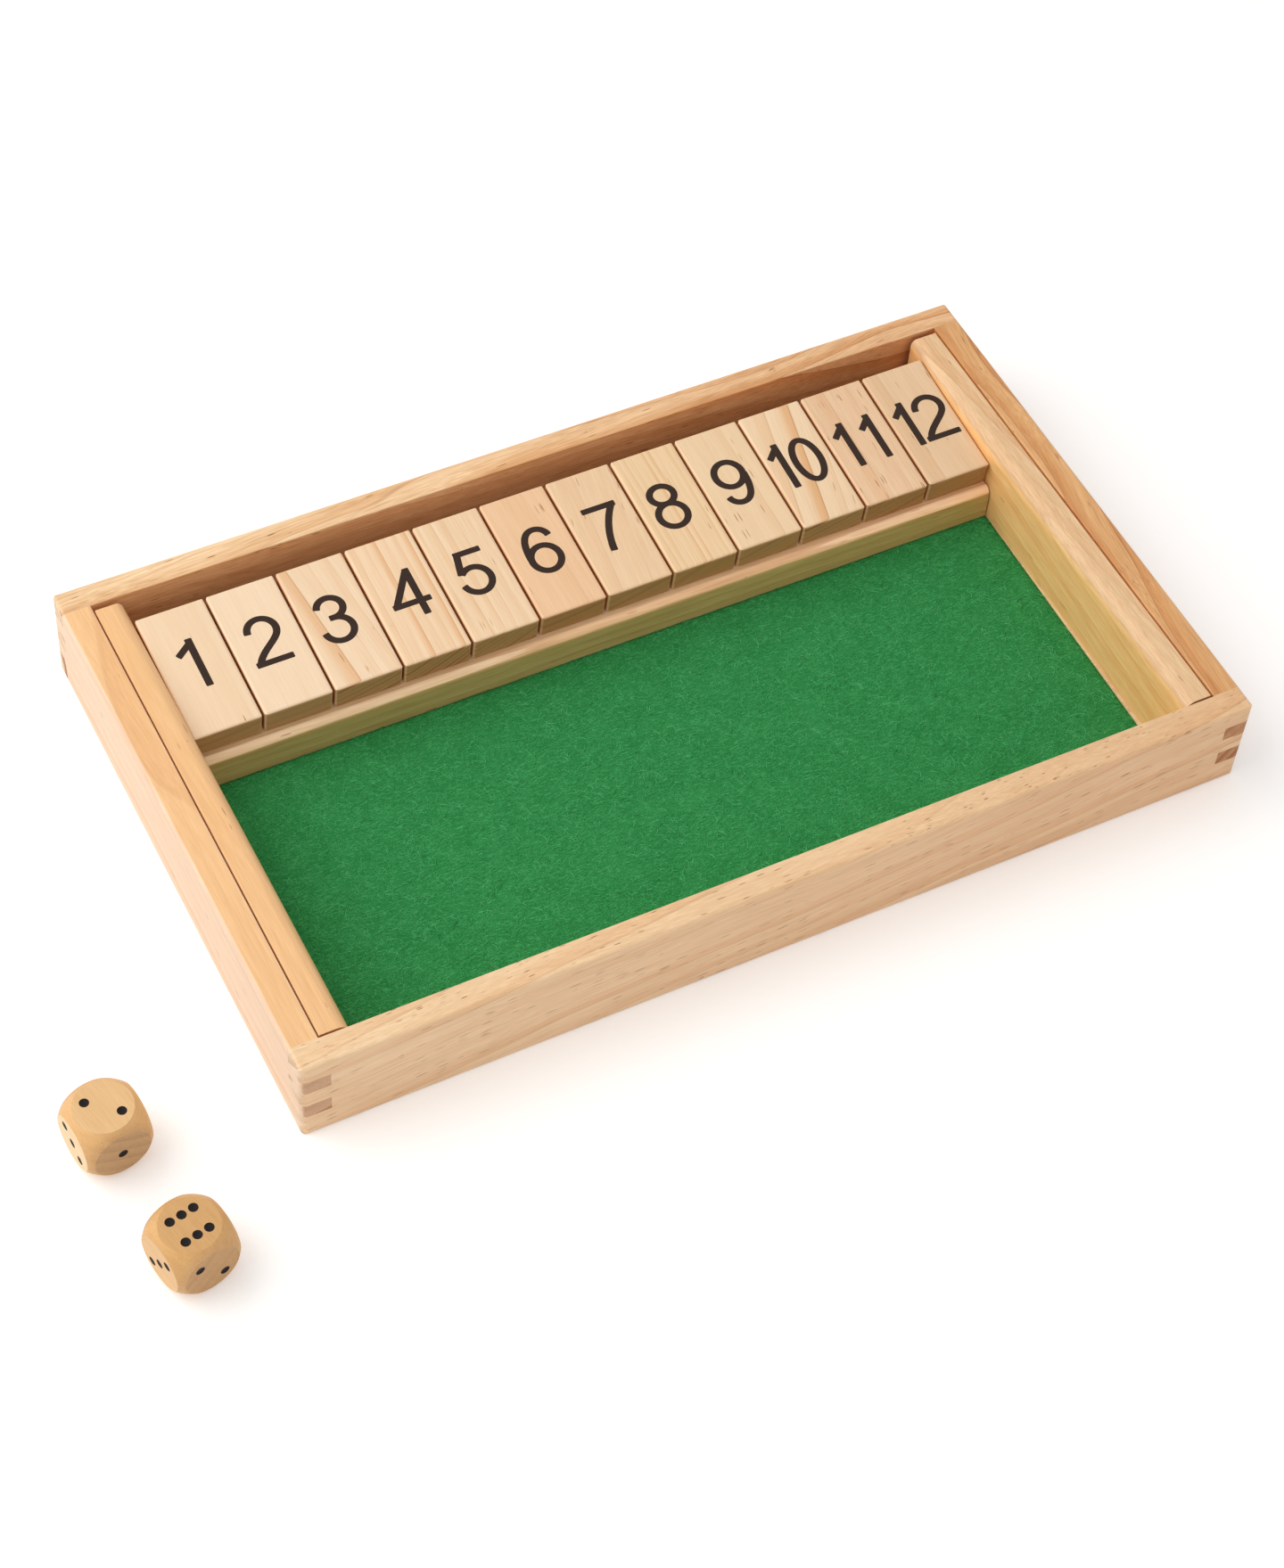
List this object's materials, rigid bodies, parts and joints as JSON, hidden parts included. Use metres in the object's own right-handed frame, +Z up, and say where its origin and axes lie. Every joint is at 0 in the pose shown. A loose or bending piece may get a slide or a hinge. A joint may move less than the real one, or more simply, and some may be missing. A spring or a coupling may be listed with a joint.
{
  "type": "shut the box game",
  "caption": "Wooden dice game: a finger-jointed tray with a felt floor and a row of numbered tiles that flip up on a steel rod, with rounded wooden dice beside it.",
  "frame": {"origin": "middle of the tray's underside, on the surface that it rests on", "axes": "+X along the row of tiles towards the highest number, +Y away from the player to the hinged side, +Z up"},
  "size_m": [0.4103, 0.2455, 0.0362],
  "materials": {
    "frame_wood": "lacquered pine, satin",
    "panel_wood": "plain plywood",
    "tile_wood": "sanded pine, satin",
    "die_wood": "polished beech",
    "felt": "pressed green felt",
    "rod_steel": "drawn steel wire",
    "black_print": "matt black printing ink"
  },
  "bodies": {
    "tray": {"front_rail": "frame_wood", "back_rail": "frame_wood", "left_end_wall": "frame_wood", "right_end_wall": "frame_wood", "bottom_panel": "panel_wood", "felt_mat": "felt", "divider_rail": "frame_wood", "left_side_rail": "frame_wood", "right_side_rail": "frame_wood", "hinge_rod": "rod_steel"},
    "tile_01": {"tile_01": "tile_wood"},
    "tile_02": {"tile_02": "tile_wood"},
    "tile_03": {"tile_03": "tile_wood"},
    "tile_04": {"tile_04": "tile_wood"},
    "tile_05": {"tile_05": "tile_wood"},
    "tile_06": {"tile_06": "tile_wood"},
    "tile_07": {"tile_07": "tile_wood"},
    "tile_08": {"tile_08": "tile_wood"},
    "tile_09": {"tile_09": "tile_wood"},
    "tile_10": {"tile_10": "tile_wood"},
    "tile_11": {"tile_11": "tile_wood"},
    "tile_12": {"tile_12": "tile_wood"},
    "die_1": {"die_1": "die_wood"},
    "die_2": {"die_2": "die_wood"}
  },
  "joints": [
    {"name": "tile_01_swing", "type": "hinge", "parent": "tray", "child": "tile_01", "pos_m": [-0.13814, 0.0717, 0.0279], "axis": [-1, 0, 0], "range_deg": [0, 152.5]},
    {"name": "tile_02_swing", "type": "hinge", "parent": "tray", "child": "tile_02", "pos_m": [-0.11303, 0.0717, 0.0279], "axis": [-1, 0, 0], "range_deg": [0, 152.5]},
    {"name": "tile_03_swing", "type": "hinge", "parent": "tray", "child": "tile_03", "pos_m": [-0.08791, 0.0717, 0.0279], "axis": [-1, 0, 0], "range_deg": [0, 152.5]},
    {"name": "tile_04_swing", "type": "hinge", "parent": "tray", "child": "tile_04", "pos_m": [-0.06279, 0.0717, 0.0279], "axis": [-1, 0, 0], "range_deg": [0, 152.5]},
    {"name": "tile_05_swing", "type": "hinge", "parent": "tray", "child": "tile_05", "pos_m": [-0.03768, 0.0717, 0.0279], "axis": [-1, 0, 0], "range_deg": [0, 152.5]},
    {"name": "tile_06_swing", "type": "hinge", "parent": "tray", "child": "tile_06", "pos_m": [-0.01256, 0.0717, 0.0279], "axis": [-1, 0, 0], "range_deg": [0, 152.5]},
    {"name": "tile_07_swing", "type": "hinge", "parent": "tray", "child": "tile_07", "pos_m": [0.01256, 0.0717, 0.0279], "axis": [-1, 0, 0], "range_deg": [0, 152.5]},
    {"name": "tile_08_swing", "type": "hinge", "parent": "tray", "child": "tile_08", "pos_m": [0.03768, 0.0717, 0.0279], "axis": [-1, 0, 0], "range_deg": [0, 152.5]},
    {"name": "tile_09_swing", "type": "hinge", "parent": "tray", "child": "tile_09", "pos_m": [0.06279, 0.0717, 0.0279], "axis": [-1, 0, 0], "range_deg": [0, 152.5]},
    {"name": "tile_10_swing", "type": "hinge", "parent": "tray", "child": "tile_10", "pos_m": [0.08791, 0.0717, 0.0279], "axis": [-1, 0, 0], "range_deg": [0, 152.5]},
    {"name": "tile_11_swing", "type": "hinge", "parent": "tray", "child": "tile_11", "pos_m": [0.11303, 0.0717, 0.0279], "axis": [-1, 0, 0], "range_deg": [0, 152.5]},
    {"name": "tile_12_swing", "type": "hinge", "parent": "tray", "child": "tile_12", "pos_m": [0.13814, 0.0717, 0.0279], "axis": [-1, 0, 0], "range_deg": [0, 152.5]},
    {"name": "die_1_lift", "type": "slide", "parent": "tray", "child": "die_1", "axis": [0, 0, 1], "range_m": [0, 0.12]},
    {"name": "die_2_lift", "type": "slide", "parent": "tray", "child": "die_2", "axis": [0, 0, 1], "range_m": [0, 0.12]}
  ]
}
